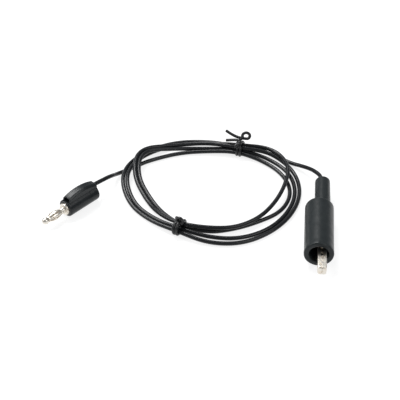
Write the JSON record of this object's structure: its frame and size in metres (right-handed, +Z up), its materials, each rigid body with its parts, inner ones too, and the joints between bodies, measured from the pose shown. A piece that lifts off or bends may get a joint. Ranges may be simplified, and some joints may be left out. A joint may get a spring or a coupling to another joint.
{
  "type": "esd ground lead",
  "caption": "Coiled thin earth-bonding lead with a stackable spring plug on one end and a booted crocodile clip on the other, tied with wire.",
  "frame": {"origin": "on the surface that the lead lies on, under the middle of the box that holds the plug and the clip", "axes": "+X from the plug to the clip, +Y away from the front of the plug and clip towards the top of the coil, +Z up"},
  "size_m": [0.1474, 0.1137, 0.0148],
  "materials": {
    "plug_metal": "bright nickel plate",
    "plug_plastic": "satin moulded",
    "spring_metal": "nickel over brass",
    "screw_steel": "zinc plate",
    "conductor": "tinned copper",
    "boot_vinyl": "soft vinyl, satin",
    "jaw_metal": "nickel-plated pressed sheet",
    "rivet_brass": "plain",
    "resistor_coat": "lacquered",
    "sleeve": "heat-shrunk",
    "tie_vinyl": "glossy vinyl over wire",
    "cord_jacket": "glossy vinyl jacket"
  },
  "bodies": {
    "lead": {"plug_core": "plug_metal", "plug_body": "plug_plastic", "pin_tip": "plug_metal", "plug_conductor": "conductor", "clip_boot": "boot_vinyl", "fixed_jaw": "jaw_metal", "pivot_rivet": "rivet_brass", "jaw_spring": "screw_steel", "resistor_body": "resistor_coat", "resistor_front_lead": "conductor", "resistor_rear_lead": "conductor", "splice_ferrule": "conductor", "shrink_sleeve": "sleeve", "clip_conductor": "conductor", "upper_tie": "tie_vinyl", "lower_tie": "tie_vinyl", "cord_to_plug": "cord_jacket", "cord_to_clip": "cord_jacket", "cord_coil": "cord_jacket"},
    "moving_jaw": {"moving_jaw": "jaw_metal"},
    "lantern_spring": {"lantern_spring": "spring_metal"},
    "clamp_screw": {"clamp_screw": "screw_steel"}
  },
  "joints": [
    {"name": "jaw_hinge", "type": "hinge", "parent": "lead", "child": "moving_jaw", "pos_m": [0.06573, -0.01402, 0.0074], "axis": [0, 0, -1], "range_deg": [0, 16], "stiffness_Nm_per_rad": 0.01, "springref_deg": -85.94, "deforming": ["jaw_spring"]},
    {"name": "lantern_spin", "type": "hinge", "parent": "lead", "child": "lantern_spring", "pos_m": [-0.06784, 0.00985, 0.00465], "axis": [0.682, 0.7314, 0], "continuous": true},
    {"name": "clamp_screw_turn", "type": "hinge", "parent": "lead", "child": "clamp_screw", "pos_m": [-0.05758, 0.02085, 0.0094], "axis": [0.682, 0.7314, 0], "continuous": true}
  ]
}
